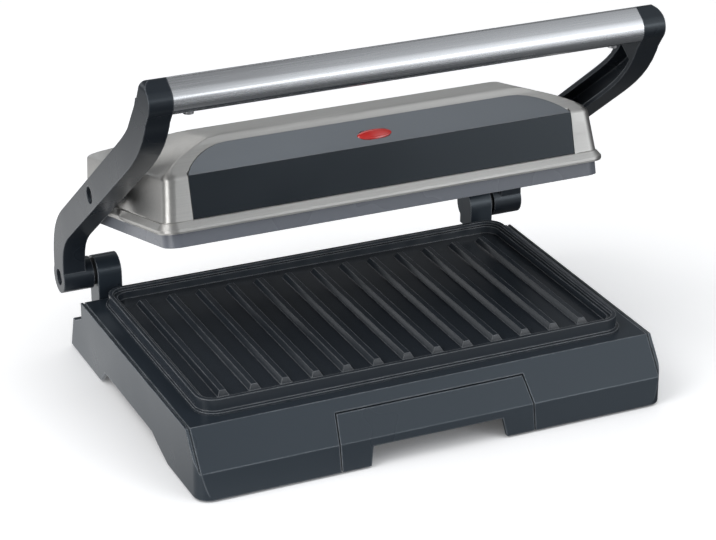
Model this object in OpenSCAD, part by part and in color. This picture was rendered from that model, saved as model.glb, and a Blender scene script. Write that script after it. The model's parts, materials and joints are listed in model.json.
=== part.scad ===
// Electric indoor contact grill with a floating lid on two curved arms.
// Millimetres, +Z up. The origin is on the table, under the middle of the base.
// The front, with the drip tray and the handle, faces -Y.

/* [Base] */
// Width of the base over its side panels
base_w = 280; // [268:1:300]
// Depth of the base from the front skirt to the rear foot
base_d = 210; // [204:1:225]
// Height of the ledge that the lower plate sits on
base_h = 36.6; // [35.6:0.2:42]
// Depth of the low deck behind the raised body
deck_d = 21.5; // [20:0.5:23]
// Height of the crease in the front panel
skirt_h = 16.5; // [14.5:0.5:19]
// How far the skirt leans back up to the crease
skirt_lean = 2.6; // [1:0.2:4]
// Depth at which the sloping front panel reaches the top
panel_run = 18; // [15:0.5:20]
// Height of the low rear deck behind the body
deck_h = 20.5; // [19:0.5:23]
// Moulded wall of the base
wall = 2.4; // [1.8:0.1:3]
// Plan radius of the two front corners
corner_r = 9; // [5:0.5:12]
// Height of the arch in the side walls
arch_h = 9.6; // [6:0.2:10]
// Start and end of the arch, back from the front
arch_from = 40; // [34:1:48]
arch_to = 159; // [150:1:165]

// Thickness of the cheek on each side
cheek_t = 1.5; // [1.3:0.1:2.5]
// Width and depth of the groove beside each cheek
cheek_gap = 1; // [0.6:0.1:1.4]
cheek_groove = 0.8; // [0.4:0.1:1]

/* [Feet and bottom cover] */
// Clearance between the housing's bottom edge and the table
foot_h = 1.2; // [1:0.1:2]
// Radius of a rubber foot
foot_r = 7; // [5:0.5:8]
// Height of a rubber foot
foot_t = 3.2; // [2.6:0.1:4]
// Underside of the bottom cover above the table
cover_z = 10.6; // [10.4:0.2:12]
// Thickness of the bottom cover
cover_t = 2; // [1.6:0.1:2.2]

/* [Grill plates] */
// Ledge of the base beside the lower plate's flange
side_ledge = 11.4; // [11:0.2:15]
// Ledge of the base behind the lower plate's flange
rear_ledge = 2.1; // [2:0.1:6]
// Distance of the lower plate's flange from the front of the base
plate_y = 24.6; // [24:0.2:25.6]
// Plan radius of the plate corners
plate_r = 12; // [8:0.5:14]
// Height of the lower plate's rim above the ledge
rim_h = 8.4; // [7:0.2:9]
// Width of the rim wall at its foot
rim_t = 4.6; // [4:0.2:6]
// Thickness of the cast floor of a plate
floor_t = 3.6; // [3.2:0.1:4.4]
// Height of the lower plate's floor above the ledge
floor_z = 2; // [1.4:0.1:2.6]
// Number of ribs on each plate
rib_n = 13; // [9:2:13]
// Distance from rib to rib
rib_pitch = 18.2; // [16:0.2:18.6]
// Width of a rib at its top
rib_w = 3.6; // [3:0.2:5]
// Height of a rib
rib_h = 3; // [2:0.2:3.6]
// Width of the fat drain behind the lower plate's front rim
drain_w = 50; // [30:1:70]
// Depth of the slot of the drain
drain_d = 5.6; // [4.8:0.2:6.4]

/* [Heating] */
// Radius of the tubular heating element
element_r = 3.1; // [2.8:0.1:3.3]
// Half of the width and of the depth of the element's loop
loop_x = 92; // [84:1:94]
loop_y = 36; // [32:1:37]
// Bend radius of the element
bend_r = 16; // [12:1:20]
// Bend radius at the element's two ends
element_end_r = 10; // [9:0.5:11]
// Half of the distance between the element's two ends
ends_x = 22; // [16:1:26]
// Width and depth of the heat reflector
reflector_w = 216; // [210:1:218]
reflector_d = 110; // [109:1:112]
// Height of the reflector behind its plate
reflector_z = 7.8; // [7.6:0.1:8.4]
// Thickness of the reflector's sheet
sheet_t = 0.6; // [0.5:0.1:0.8]

/* [Drip tray] */
// Width of the tray's front at the crease
tray_w = 116; // [100:1:118]
// How much narrower the front is at its top
tray_taper = 4; // [0:0.5:8]
// Height of the tray's front above the table
tray_top = 29.7; // [27:0.1:31]
// Seam around the tray's front
seam = 0.7; // [0.5:0.1:1]
// Width of the finger notch at its top
notch_w = 78; // [60:1:84]
// Height of the finger notch above the table
notch_h = 11.8; // [9:0.2:12.2]
// Depth of the pan behind the front
pan_d = 145; // [120:1:150]
// Height of the pan's side walls
pan_h = 11.6; // [8:0.2:11.8]
// Wall of the pan
pan_t = 1.6; // [1.2:0.1:2]

/* [Hinge] */
// Distance of the hinge axis from the rear edge of the base
hinge_in = 10; // [8:0.5:11]
// Height of the hinge axis above the table
hinge_z = 50; // [48:0.5:54]
// Radius of the hinge barrels
hinge_r = 9.5; // [8.5:0.1:10]
// Distance of a hinge post's outer side from the base's side
post_in = 12; // [11.5:0.5:14]
// Width of a hinge post
post_w = 14.5; // [12:0.5:16]
// Closed inner end of a hinge post
post_end = 2; // [1.4:0.2:3]
// Radius of the hinge pins and of the lid pivots
pin_r = 3; // [2.6:0.1:3.4]
// Running clearance of a pin, on the radius
pin_fit = 0.05; // [0.03:0.01:0.08]
// Gap between a post and its arm
hinge_gap = 2; // [1.6:0.1:2.4]

/* [Arms and handle] */
// Gap between the lid's rim and an arm
lid_gap = 2; // [1:0.1:4]
// Width of an arm
arm_w = 13.5; // [11:0.5:14]
// Thickness of an arm seen from the side
arm_t = 16.6; // [14:0.2:18]
// Wall of the arm's channel
arm_wall = 2.6; // [2:0.1:3]
// Handle from the hinge axis, forward and up
grip_y = -157; // [-162:1:-152]
grip_z = 161; // [156:1:166]
// Wall of the handle's tube
tube_t = 1.6; // [1.2:0.1:2]
// Length of the spigot in each end of the tube
spigot = 24; // [20:1:30]

/* [Lid] */
// How far the lid's rim overhangs the lower plate on each side
lid_over = 4.4; // [1:0.1:5]
// Depth of the lid over its rim
lid_d = 147; // [144:0.5:151]
// Pivot of the lid from its front edge and above its rim's underside
pivot_y = 72.2; // [68:0.1:76]
pivot_z = 16.8; // [16:0.1:18]
// Lid pivot from the hinge axis, forward and up
swing_y = -64.2; // [-66:0.1:-62]
swing_z = 75.6; // [74:0.1:78]
// Nose-up tilt of the lid
lid_tilt = 14.4; // [8:0.1:20]
// Thickness of the lid's rim
frame_t = 5.5; // [4.8:0.1:6]
// Height of the crease between the lid's sides and its roof
crease_z = 29.2; // [27:0.1:31]
// Height of the lid's top at its front and at its rear edge
top_z0 = 45.2; // [43:0.2:46]
top_z1 = 46.2; // [45:0.2:49]
// Width of the lid's flat top
top_w = 191; // [170:1:200]
// Front and rear edge of the lid's flat top
top_y0 = 25; // [23:0.1:28]
top_y1 = 56; // [48:0.5:64]
// Steel of the lid cover
cover_steel = 1; // [0.8:0.1:1.2]
// Depth of the upper plate below the lid's rim
upper_h = 7.9; // [7:0.1:9]
// Half of the width of the dark front band
band_x = 114; // [108:0.5:115]
// Height of the fascia's top edge
fascia_z = 41.5; // [39:0.1:42]
// Half of the straight part of the fascia's top edge
fascia_x = 84.5; // [70:0.5:90]

/* [Hidden] */
$fn = 48;
eps = 0.01;
slack = 0.05;     // clearance of a piece seated in its own housing
run = 0.4;        // clearance between pieces that slide or swing past each other
body_d = base_d - deck_d;
plate_w = base_w - 2 * side_ledge;
plate_d = body_d - plate_y - rear_ledge;
hinge_y = base_d - hinge_in;
post_x = base_w / 2 - post_in;
lid_w = plate_w + 2 * lid_over;
arm_x = lid_w / 2 + lid_gap + arm_w;
front = -base_d / 2;
screw_r = 1.6;
screw_head = 3;
head_t = 1.7;
cover_screw = 12;
plate_screw = 14;
handle_screw = 9;
hinge = [0, front + hinge_y, hinge_z];
arm_in = arm_x - arm_w;
lower_mid = front + plate_y + plate_d / 2;
plate_back = base_h + floor_z - floor_t;
cover_top = cover_z + cover_t;
boss_top = base_h - wall;
upper_inset = 3;
upper_w = lid_w - 2 * upper_inset;
upper_d = lid_d - 2 * upper_inset;
upper_floor = -2;
upper_back = upper_floor + floor_t;
frame_lip = 11;   // width of the lid frame from its outer edge to its opening
top_lean = atan2(top_z1 - top_z0, top_y1 - top_y0);

function mix(a, b, t) = a * (1 - t) + b * t;
function bezier(p, t) = mix(mix(mix(p[0], p[1], t), mix(p[1], p[2], t), t),
    mix(mix(p[1], p[2], t), mix(p[2], p[3], t), t), t);
function last(list) = list[len(list) - 1];

// Outline around circles [x, y, r] as a taut belt would lie on them.
function belt_point(circles, a) = let(
    n = [cos(a), sin(a)],
    reach = [for (c = circles) c[0] * n[0] + c[1] * n[1] + c[2]],
    c = circles[search(max(reach), reach)[0]]) [c[0], c[1]] + c[2] * n;
function belt(circles, grow = 0) =
    let(grown = [for (c = circles) [c[0], c[1], c[2] + grow]])
    [for (a = [0 : 7.5 : 352.5]) belt_point(grown, a)];

// Flat outline with round corners, centred.
module round_rect(w, d, r) {
    square([w - 2 * r, d], center = true);
    square([w, d - 2 * r], center = true);
    for (x = [-1, 1], y = [-1, 1])
        translate([x * (w / 2 - r), y * (d / 2 - r)]) circle(r);
}

module slab(w, d, r, z0, z1) {
    translate([0, 0, z0]) linear_extrude(z1 - z0) round_rect(w, d, r);
}

// An outline drawn in the Y-Z plane, extruded from x0 to x1.
module side_extrude(x0, x1) {
    translate([x0, 0, 0]) rotate([90, 0, 90]) linear_extrude(x1 - x0) children();
}

// An outline drawn in the X-Z plane, extruded from y0 to y1.
module front_extrude(y0, y1) {
    translate([0, y1, 0]) rotate([90, 0, 0]) linear_extrude(y1 - y0) children();
}

module rod_x(x0, x1, r) {
    translate([x0, 0, 0]) rotate([0, 90, 0]) cylinder(h = x1 - x0, r = r);
}

module both_sides() {
    children();
    mirror([1, 0, 0]) children();
}

// Screw along +Z with its head below z = 0.
module screw(length, r = screw_r, head = screw_head, t = head_t) {
    difference() {
        union() {
            translate([0, 0, -t]) cylinder(h = t, r = head);
            cylinder(h = length, r = r);
        }
        for (a = [0, 90]) rotate(a)
            translate([-head * 0.6, -0.4, -t - eps]) cube([head * 1.2, 0.8, 0.8 + eps]);
    }
}

// Insulated lead through points, of round section, mitred at its bends.
module lead(points, r = 1.1) {
    n = len(points) - 1;
    for (i = [0 : n - 1]) {
        d = points[i + 1] - points[i];
        before = i > 0 ? r * 0.7 : 0;
        after = i < n - 1 ? r * 0.7 : 0;
        translate(points[i]) rotate([0, acos(d[2] / norm(d)), atan2(d[1], d[0])])
            translate([0, 0, -before]) cylinder(h = norm(d) + before + after, r = r, $fn = 24);
    }
}

// ---- base ----------------------------------------------------------------

// Side outline of the base; t moves the whole outline inwards.
function base_side(t = 0) = [
    [t, foot_h - (t > 0 ? 2 : 0)],
    [skirt_lean + t, skirt_h - t * 0.25],
    [panel_run + t * 0.45, base_h - t],
    [body_d - t, base_h - t],
    [body_d - t, deck_h + 6 - t * 0.6],
    [body_d + 12 - t * 0.8, deck_h - t],
    [base_d - 6 - t * 0.8, deck_h - t],
    [base_d - t, foot_h - (t > 0 ? 2 : 0)]];

module plan_outline(w, d, r) {
    translate([0, front]) {
        translate([-w / 2, r]) square([w, d - r]);
        translate([-w / 2 + r, 0]) square([w - 2 * r, d]);
        for (x = [-1, 1]) translate([x * (w / 2 - r), r]) circle(r);
    }
}

cover_screw_x = base_w / 2 - wall - 7;
cover_screw_y = [35, body_d / 2, body_d - 18];
plate_boss_x = reflector_w / 2 - 8;
plate_boss_y = reflector_d / 2 + 8;
post_mid = post_x - post_w / 2;
post_leg_y0 = -hinge_r;
post_leg_y1 = hinge_r * 0.55;
pad_z = deck_h + 6.5;
pad_d = post_leg_y1 - post_leg_y0;
gland_x = -62;
gland_z = 11;
gland_r = 5.2;
gland_seat = 2.4;   // depth of the collar of the cord gland

// Front opening for the tray, seen from the front; gap widens it all round.
module tray_front_outline(gap) {
    polygon([[-tray_w / 2 - gap, -1], [-tray_w / 2 - gap, skirt_h],
        [-tray_w / 2 + tray_taper / 2 - gap, tray_top + gap],
        [tray_w / 2 - tray_taper / 2 + gap, tray_top + gap],
        [tray_w / 2 + gap, skirt_h], [tray_w / 2 + gap, -1]]);
}

module base_housing() color([0.26, 0.28, 0.31]) difference() {
    union() {
        difference() {
            intersection() {
                translate([0, front, 0]) side_extrude(-base_w / 2, base_w / 2)
                    polygon(base_side());
                linear_extrude(base_h + 1) plan_outline(base_w, base_d, corner_r);
            }
            intersection() {
                translate([0, front, 0])
                    side_extrude(-base_w / 2 + wall, base_w / 2 - wall)
                    polygon(base_side(wall));
                translate([0, 0, -1]) linear_extrude(base_h + 1) translate([0, wall])
                    plan_outline(base_w - 2 * wall, base_d - 2 * wall, corner_r - wall);
            }
        }
        // pads that carry the hinge posts
        both_sides() translate([post_x - post_w, hinge[1] + post_leg_y0, deck_h - wall])
            cube([post_w, pad_d, pad_z - deck_h + wall]);
        // screw columns under the ledge
        for (x = [-1, 1], y = cover_screw_y)
            translate([x * cover_screw_x, front + y, cover_top])
            cylinder(h = boss_top - cover_top + 1, r = 3.6);
    }
    // opening under the lower plate
    translate([0, lower_mid, boss_top - 1])
        linear_extrude(wall + 2) round_rect(plate_w - 10, plate_d - 10, plate_r - 4);
    // tray front
    front_extrude(front - 1, front + panel_run) tray_front_outline(seam);
    // grooves that set the cheeks off from the ledge and the front panel
    both_sides() translate([0, front, 0])
        side_extrude(base_w / 2 - cheek_t - cheek_gap, base_w / 2 - cheek_t)
        polygon([[skirt_lean - 1, skirt_h], [panel_run - 1, base_h + 1], [body_d + 1, base_h + 1],
            [body_d + 1, base_h - cheek_groove], [panel_run + cheek_groove * 0.45, base_h - cheek_groove],
            [skirt_lean + cheek_groove, skirt_h - cheek_groove * 0.25]]);
    // arches in the side walls
    translate([0, front, 0]) side_extrude(-base_w / 2 - 1, base_w / 2 + 1)
        polygon([[arch_from, -1], [arch_from + 22, arch_h * 0.6], [arch_from + 31, arch_h],
            [arch_to - 10, arch_h], [arch_to, -1]]);
    for (x = [-1, 1], y = cover_screw_y)
        translate([x * cover_screw_x, front + y, cover_z])
        cylinder(h = cover_screw + 2, r = screw_r + slack);
    post_screw_places() cylinder(h = 20, r = screw_r + slack);
    // cord outlet in the rear wall
    translate([gland_x, front + base_d - 14, gland_z]) rotate([-90, 0, 0])
        cylinder(h = 20, r = gland_r + slack);
    translate([gland_x, front + base_d - gland_seat, gland_z]) rotate([-90, 0, 0])
        cylinder(h = 9, r = gland_r + 2);
}

module post_screw_places() {
    for (x = [post_x - 4, post_x - post_w + 4]) both_sides()
        translate([x, hinge[1] + (post_leg_y0 + post_leg_y1) / 2, deck_h - wall])
        children();
}

module foot_places() {
    for (x = [-1, 1], y = [22, base_d - 26])
        translate([x * (base_w / 2 - wall - foot_r - 6), front + y, 0]) children();
}

rail_x = tray_w / 2 - 3;
rail_h = 5;
pan_w = tray_w - 8;
pan_z = cover_top + 0.3;

module bottom_cover() color([0.12, 0.12, 0.13]) difference() {
    union() {
        translate([0, 0, cover_z]) linear_extrude(cover_t) intersection() {
            translate([0, wall + skirt_lean + 0.5])
                plan_outline(base_w - 2 * wall - 0.6, base_d - 2 * wall - skirt_lean - 5.4,
                    corner_r - wall);
            translate([-base_w / 2, front]) square([base_w, base_d]);
        }
        foot_places() translate([0, 0, foot_h]) cylinder(h = cover_z - foot_h + 1, r = foot_r + 2);
        // runners on both sides of the tray and the stop behind it
        for (x = [-rail_x - 2, rail_x]) translate([x, front + 22, cover_z + 1])
            cube([2, pan_d - 19, rail_h + cover_t - 1]);
        translate([-rail_x - 2, front + skirt_lean + pan_d + 1.2, cover_z + 1])
            cube([2 * rail_x + 4, 2, rail_h + cover_t - 1]);
    }
    foot_places() translate([0, 0, -1]) cylinder(h = foot_t + 1, r = foot_r + slack);
    translate([gland_x - gland_r - 1, front + base_d - 14, cover_z - 1])
        cube([2 * gland_r + 2, 20, cover_t + 2]);
    // finger room behind the notch
    translate([-notch_w / 2 - 2, front - 1, cover_z - 1]) cube([notch_w + 4, 24, cover_t + 2]);
    for (x = [-1, 1], y = cover_screw_y)
        translate([x * cover_screw_x, front + y, cover_z - 1])
        cylinder(h = cover_t + 2, r = screw_r + 0.2);
    for (x = [-1, 1], y = [-1, 1])
        translate([x * plate_boss_x, lower_mid + y * plate_boss_y, cover_z - 1])
        cylinder(h = cover_t + 2, r = screw_r + 0.2);
}

module rubber_feet() color([0.08, 0.08, 0.08])
    foot_places() difference() {
        cylinder(h = foot_t, r = foot_r);
        translate([0, 0, -eps]) cylinder(h = 0.6, r = foot_r - 3);
    }

module bottom_cover_screws() color([0.5, 0.5, 0.52])
    for (x = [-1, 1], y = cover_screw_y)
        translate([x * cover_screw_x, front + y, cover_z]) screw(cover_screw);

module cord_gland() color([0.08, 0.08, 0.09])
    translate([gland_x, front + base_d, gland_z]) rotate([-90, 0, 0]) difference() {
        union() {
            translate([0, 0, -9]) cylinder(h = 8, r = gland_r);
            translate([0, 0, -gland_seat]) cylinder(h = gland_seat - 0.1, r = gland_r + 1.8);
        }
        translate([0, 0, -10]) cylinder(h = 12, r = 3.6);
    }

block_y = body_d - 12.5;

module terminal_block() color([0.9, 0.9, 0.86])
    translate([gland_x - 13, front + block_y, cover_top]) difference() {
        cube([26, 12, 11]);
        for (x = [5, 13, 21]) {
            translate([x, -1, 4]) rotate([-90, 0, 0]) cylinder(h = 14, r = 1.8, $fn = 24);
            translate([x, 6, 6]) cylinder(h = 6, r = 2, $fn = 24);
        }
    }

// ---- grill plates and heater packs --------------------------------------

// Ribs that stand on z = 0, with sloping flanks and ends.
module ribs(length) {
    intersection() {
        for (i = [0 : rib_n - 1]) translate([(i - (rib_n - 1) / 2) * rib_pitch, 0, 0])
            front_extrude(-length / 2, length / 2)
            polygon([[-rib_w / 2 - 1.6, -1], [-rib_w / 2 - 1.6, 0], [-rib_w / 2, rib_h],
                [rib_w / 2, rib_h], [rib_w / 2 + 1.6, 0], [rib_w / 2 + 1.6, -1]]);
        side_extrude(-plate_w, plate_w)
            polygon([[-length / 2, -1], [-length / 2, 0], [-length / 2 + 1.6, rib_h],
                [length / 2 - 1.6, rib_h], [length / 2, 0], [length / 2, -1]]);
    }
}

// Places of the heater pack's fixings, behind a plate whose back is at z = 0.
module reflector_places() {
    for (x = [-1, 1], y = [-1, 1])
        translate([x * (reflector_w / 2 - 8), y * (reflector_d / 2 - 8), 0]) children();
}

clip_places = [[-50, -loop_y], [50, -loop_y], [-58, loop_y], [58, loop_y]];
clip_screw_y = 8;
clip_wing = 2.6;

module reflector_bosses() {
    reflector_places() translate([0, 0, -1]) cylinder(h = reflector_z + 1 - sheet_t, r = 4);
}

module pack_holes() {
    reflector_places() translate([0, 0, 0.5]) cylinder(h = reflector_z, r = screw_r + slack);
    for (p = clip_places, s = [-1, 1])
        translate([p[0], p[1] + s * clip_screw_y, -floor_t + 1]) cylinder(h = floor_t, r = 1.5 + slack);
}

module lower_grill_plate() color([0.14, 0.15, 0.17]) translate([0, lower_mid, 0]) {
    rim_w = plate_w - 2.8;
    rim_d = plate_d - 5;
    difference() {
        union() {
            slab(plate_w, plate_d, plate_r, base_h, base_h + 1.6);
            slab(rim_w, rim_d, plate_r - 1.4, base_h, base_h + rim_h);
            slab(plate_w - 16, plate_d - 16, plate_r - 7, plate_back, base_h + 1);
            // long bosses down to the bottom cover
            for (x = [-1, 1], y = [-1, 1])
                translate([x * plate_boss_x, y * plate_boss_y, cover_top])
                cylinder(h = plate_back - cover_top + 1, r = 4.4);
            translate([0, 0, plate_back]) mirror([0, 0, 1]) reflector_bosses();
            // spout of the fat drain
            translate([-drain_w / 2 - 2, drain_y - 2, plate_back - 8])
                cube([drain_w + 4, drain_d + 4, 9]);
        }
        slab(rim_w - 2 * rim_t, rim_d - 2 * rim_t, plate_r - 4,
            base_h + floor_z, base_h + rim_h + 1);
        // upper half of the inner rim wall slopes back
        slab(rim_w - rim_t, rim_d - rim_t, plate_r - 3, base_h + rim_h - 2, base_h + rim_h + 1);
        translate([-drain_w / 2, drain_y, plate_back - 9]) cube([drain_w, drain_d, 20]);
        for (x = [-1, 1], y = [-1, 1])
            translate([x * plate_boss_x, y * plate_boss_y, cover_z])
            cylinder(h = plate_screw + 2, r = screw_r + slack);
        translate([0, 0, plate_back]) mirror([0, 0, 1]) pack_holes();
    }
    translate([0, 0, base_h + floor_z]) ribs(rim_d - 2 * rim_t - 19);
}
drain_y = -(plate_d - 5) / 2 + rim_t;

module lower_plate_screws() color([0.5, 0.5, 0.52])
    for (x = [-1, 1], y = [-1, 1])
        translate([x * plate_boss_x, lower_mid + y * plate_boss_y, cover_z]) screw(plate_screw);

end_stub = reflector_d / 2 + 3 - loop_y - element_end_r;   // past the reflector's edge

// Tubular element: a loop with both ends turned to the rear.
module element() {
    translate([0, 0, element_r + 0.1]) {
        for (s = [-1, 1]) {
            translate([-(loop_x - bend_r), s * loop_y, 0])
                if (s < 0) rod_x(0, 2 * (loop_x - bend_r), element_r);
            translate([s * loop_x, loop_y - bend_r, 0]) rotate([90, 0, 0])
                cylinder(h = 2 * (loop_y - bend_r), r = element_r);
            for (t = [-1, 1])
                translate([s * (loop_x - bend_r), t * (loop_y - bend_r), 0])
                rotate([0, 0, s > 0 ? (t > 0 ? 0 : -90) : (t > 0 ? 90 : 180)])
                rotate_extrude(angle = 90) translate([bend_r, 0]) circle(element_r);
            // rear straight and the turn to the end
            translate([s > 0 ? ends_x + element_end_r : -(loop_x - bend_r), loop_y, 0])
                rod_x(0, loop_x - bend_r - ends_x - element_end_r, element_r);
            translate([s * (ends_x + element_end_r), loop_y + element_end_r, 0])
                rotate([0, 0, s > 0 ? 180 : 270])
                rotate_extrude(angle = 90) translate([element_end_r, 0]) circle(element_r);
            translate([s * ends_x, loop_y + element_end_r, 0]) rotate([-90, 0, 0]) {
                cylinder(h = end_stub - 4, r = element_r);
                cylinder(h = end_stub, r = 1.4);
            }
        }
    }
}

module element_clips() {
    for (p = clip_places) translate([p[0], p[1], 0]) {
        difference() {
            union() {
                translate([-4, -12, 0]) cube([8, 24, clip_wing]);
                translate([-4, -4.6, 0]) cube([8, 9.2, 2 * element_r + 0.9]);
            }
            translate([-5, 0, element_r + 0.1]) rod_x(0, 10, element_r + slack);
            for (s = [-1, 1]) translate([0, s * clip_screw_y, -1]) cylinder(h = 5, r = 1.7);
        }
        for (s = [-1, 1]) translate([0, s * clip_screw_y, clip_wing]) mirror([0, 0, 1])
            screw(clip_wing + 2, 1.5, 2.6, 1.6);
    }
}

module reflector() {
    difference() {
        translate([-reflector_w / 2, -reflector_d / 2, 0.3])
            cube([reflector_w, reflector_d, reflector_z - 0.3]);
        translate([-reflector_w / 2 + sheet_t, -reflector_d / 2 + sheet_t, -1])
            cube([reflector_w - 2 * sheet_t, reflector_d - 2 * sheet_t, reflector_z + 1 - sheet_t]);
        // gap for the element's ends
        translate([-ends_x - 7, reflector_d / 2 - 4, -1])
            cube([2 * ends_x + 14, 5, reflector_z - sheet_t + 1]);
        reflector_places() cylinder(h = 20, r = screw_r + 0.2);
    }
}

module reflector_screws() {
    reflector_places() translate([0, 0, reflector_z]) mirror([0, 0, 1]) screw(5);
}

module thermostat() {
    translate([0, 4, 0]) {
        cylinder(h = 2, r = 9);
        translate([0, 0, 2]) cylinder(h = 3.6, r = 7.6);
        for (s = [-1, 1]) translate([s * 8 - 2, -2.5, 4]) cube([4, 5, 0.8]);
    }
}

module thermal_fuse() {
    translate([42, 4, 0]) {
        translate([0, 0, 2.3]) rod_x(-7, 7, 2.2);
        translate([0, 0, 2.3]) rod_x(-13, 13, 0.6);
        difference() {
            translate([-2.5, -4, 0]) cube([5, 8, 5.2]);
            translate([0, 0, 2.3]) rod_x(-4, 4, 2.2 + slack);
        }
    }
}

// The lower pack hangs below the lower plate, the upper pack lies on the upper one.
module lower_pack() { translate([0, lower_mid, plate_back]) mirror([0, 0, 1]) children(); }
module upper_pack() { lid_pose() translate([0, lid_d / 2, upper_back]) children(); }

module lower_heating_element() color([0.45, 0.44, 0.42]) lower_pack() element();
module lower_element_clips() color([0.6, 0.6, 0.62]) lower_pack() element_clips();
module lower_heat_reflector() color([0.8, 0.8, 0.82]) lower_pack() reflector();
module lower_reflector_screws() color([0.5, 0.5, 0.52]) lower_pack() reflector_screws();
module lower_thermostat() color([0.85, 0.82, 0.7]) lower_pack() thermostat();
module lower_thermal_fuse() color([0.75, 0.7, 0.6]) lower_pack() thermal_fuse();
module upper_heating_element() color([0.45, 0.44, 0.42]) upper_pack() element();
module upper_element_clips() color([0.6, 0.6, 0.62]) upper_pack() element_clips();
module upper_heat_reflector() color([0.8, 0.8, 0.82]) upper_pack() reflector();
module upper_reflector_screws() color([0.5, 0.5, 0.52]) upper_pack() reflector_screws();
module upper_thermostat() color([0.85, 0.82, 0.7]) upper_pack() thermostat();
module upper_thermal_fuse() color([0.75, 0.7, 0.6]) upper_pack() thermal_fuse();

pin_end_y = loop_y + element_end_r + end_stub;
pin_z = element_r + 0.1;

module lower_wiring() color([0.85, 0.85, 0.8]) {
    pin_level = plate_back - pin_z;
    pin_back = lower_mid + pin_end_y;
    block_top = cover_top + 11;
    for (s = [-1, 1]) lead([[s * ends_x, pin_back + slack, pin_level],
        [s * ends_x, pin_back + 3, pin_level],
        [s * ends_x, pin_back + 3, block_top + 3 - s * 1.3],
        [gland_x + s * 8, pin_back + 3, block_top + 3 - s * 1.3],
        [gland_x + s * 8, front + block_y + 6, block_top + 3 - s * 1.3],
        [gland_x + s * 8, front + block_y + 6, block_top - 4.9]]);
}

// ---- drip tray -----------------------------------------------------------

module drip_tray() color([0.24, 0.26, 0.29]) {
    slope = (panel_run - skirt_lean) / (base_h - skirt_h);
    top_y = skirt_lean + (tray_top - skirt_h) * slope;
    difference() {
        intersection() {
            translate([0, front, 0]) side_extrude(-base_w / 2, base_w / 2)
                polygon([[0, foot_h], [skirt_lean, skirt_h], [top_y, tray_top],
                    [top_y + wall, tray_top], [skirt_lean + wall, skirt_h - 0.6],
                    [wall, foot_h]]);
            front_extrude(front - 1, front + panel_run + wall + 1) tray_front_outline(0);
        }
        front_extrude(front - 1, front + 10) polygon([[-notch_w / 2 - 2, foot_h - 1],
            [-notch_w / 2, notch_h], [notch_w / 2, notch_h], [notch_w / 2 + 2, foot_h - 1]]);
    }
    // pan that catches the fat
    difference() {
        translate([-pan_w / 2, front + skirt_lean + 0.8, pan_z]) cube([pan_w, pan_d, pan_h]);
        translate([-pan_w / 2 + pan_t, front + skirt_lean + pan_h + 1, pan_z + pan_t])
            cube([pan_w - 2 * pan_t, pan_d - pan_h - pan_t, pan_h]);
        // the pan stays behind the sloping front
        translate([0, front, 0]) side_extrude(-base_w / 2, base_w / 2)
            polygon([[-1, skirt_h], [skirt_lean + 1, skirt_h], [top_y + 1, tray_top],
                [top_y + 1, tray_top + 9], [-1, tray_top + 9]]);
        translate([0, front, 0]) side_extrude(-base_w / 2, base_w / 2)
            polygon([[skirt_lean + 1, pan_z + pan_h - 2.4], [30, pan_z + pan_h + 9], [0, pan_z + pan_h + 9]]);
    }
}

// ---- hinge ---------------------------------------------------------------

module hinge_post() color([0.2, 0.22, 0.24]) difference() {
    translate([0, hinge[1], 0]) side_extrude(post_x - post_w, post_x) {
        translate([0, hinge_z]) circle(hinge_r);
        translate([post_leg_y0, pad_z]) square([pad_d, hinge_z - pad_z]);
    }
    translate(hinge) rod_x(post_x - post_w + post_end, post_x + 1, pin_r + 1.6);
    // the foot is narrower than the barrel
    translate([post_x - post_w - 1, hinge[1] + post_leg_y0 - 1, pad_z - 1])
        cube([4, pad_d + 2, hinge_z - hinge_r - pad_z - 3]);
    for (x = [post_x - 4, post_x - post_w + 4])
        translate([x, hinge[1] + (post_leg_y0 + post_leg_y1) / 2, pad_z - 1])
        cylinder(h = 9, r = screw_r + slack);
}
module left_hinge_post() mirror([1, 0, 0]) hinge_post();
module right_hinge_post() hinge_post();

module hinge_post_screws() color([0.5, 0.5, 0.52])
    post_screw_places() screw(pad_z - deck_h + wall + 7);

module hinge_bushes() color([0.75, 0.6, 0.35])
    both_sides() translate(hinge) difference() {
        rod_x(post_x - post_w + post_end, post_x, pin_r + 1.6 - slack);
        rod_x(post_x - post_w, post_x + 1, pin_r + pin_fit);
    }

module hinge_washers() color([0.1, 0.1, 0.1])
    both_sides() translate(hinge) difference() {
        rod_x(post_x, post_x + hinge_gap - run, hinge_r - 1.6);
        rod_x(post_x - 1, post_x + hinge_gap, pin_r + 0.3);
    }

module hinge_pins() color([0.6, 0.6, 0.62])
    both_sides() translate(hinge) difference() {
        union() {
            rod_x(post_x - post_w + post_end + run, arm_x - recess_t, pin_r);
            rod_x(arm_x - recess_t, arm_x - recess_t + 3, recess_r - 0.4);
        }
        rod_x(arm_x - recess_t + 1.4, arm_x + 1, pin_r * 0.7, $fn = 6);
    }

// ---- arms and handle -----------------------------------------------------

recess_r = 4.9;
recess_t = 5;

// Middle line of the arm from the hinge axis to the handle.
arm_bends = [
    [[0, 8], [0, 24], [-6.5, 32], [-16, 39.5]],
    [[-16, 39.5], [-40, 57.4], [-80, 87.1], [-108, 108]],
    [[-108, 108], [grip_y + 29, grip_z - 38], [grip_y + 9, grip_z - 25], [grip_y + 2, grip_z - 4]]];
arm_steps = 9;
arm_tip_r = 4.5;
arm_line = concat([[0, 0]], [for (b = arm_bends, i = [0 : arm_steps - 1]) bezier(b, i / arm_steps)],
    [last(last(arm_bends))]);
function arm_side(half, from, to, sign) = [for (i = [from : to])
    let(a = arm_line[max(i - 1, 0)], b = arm_line[min(i + 1, len(arm_line) - 1)],
        d = (b - a) / norm(b - a))
    arm_line[i] + sign * half * [-d[1], d[0]]];
function arm_band(half, from, to) =
    let(back = arm_side(half, from, to, -1))
    concat(arm_side(half, from, to, 1), [for (i = [to - from : -1 : 0]) back[i]]);

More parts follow.
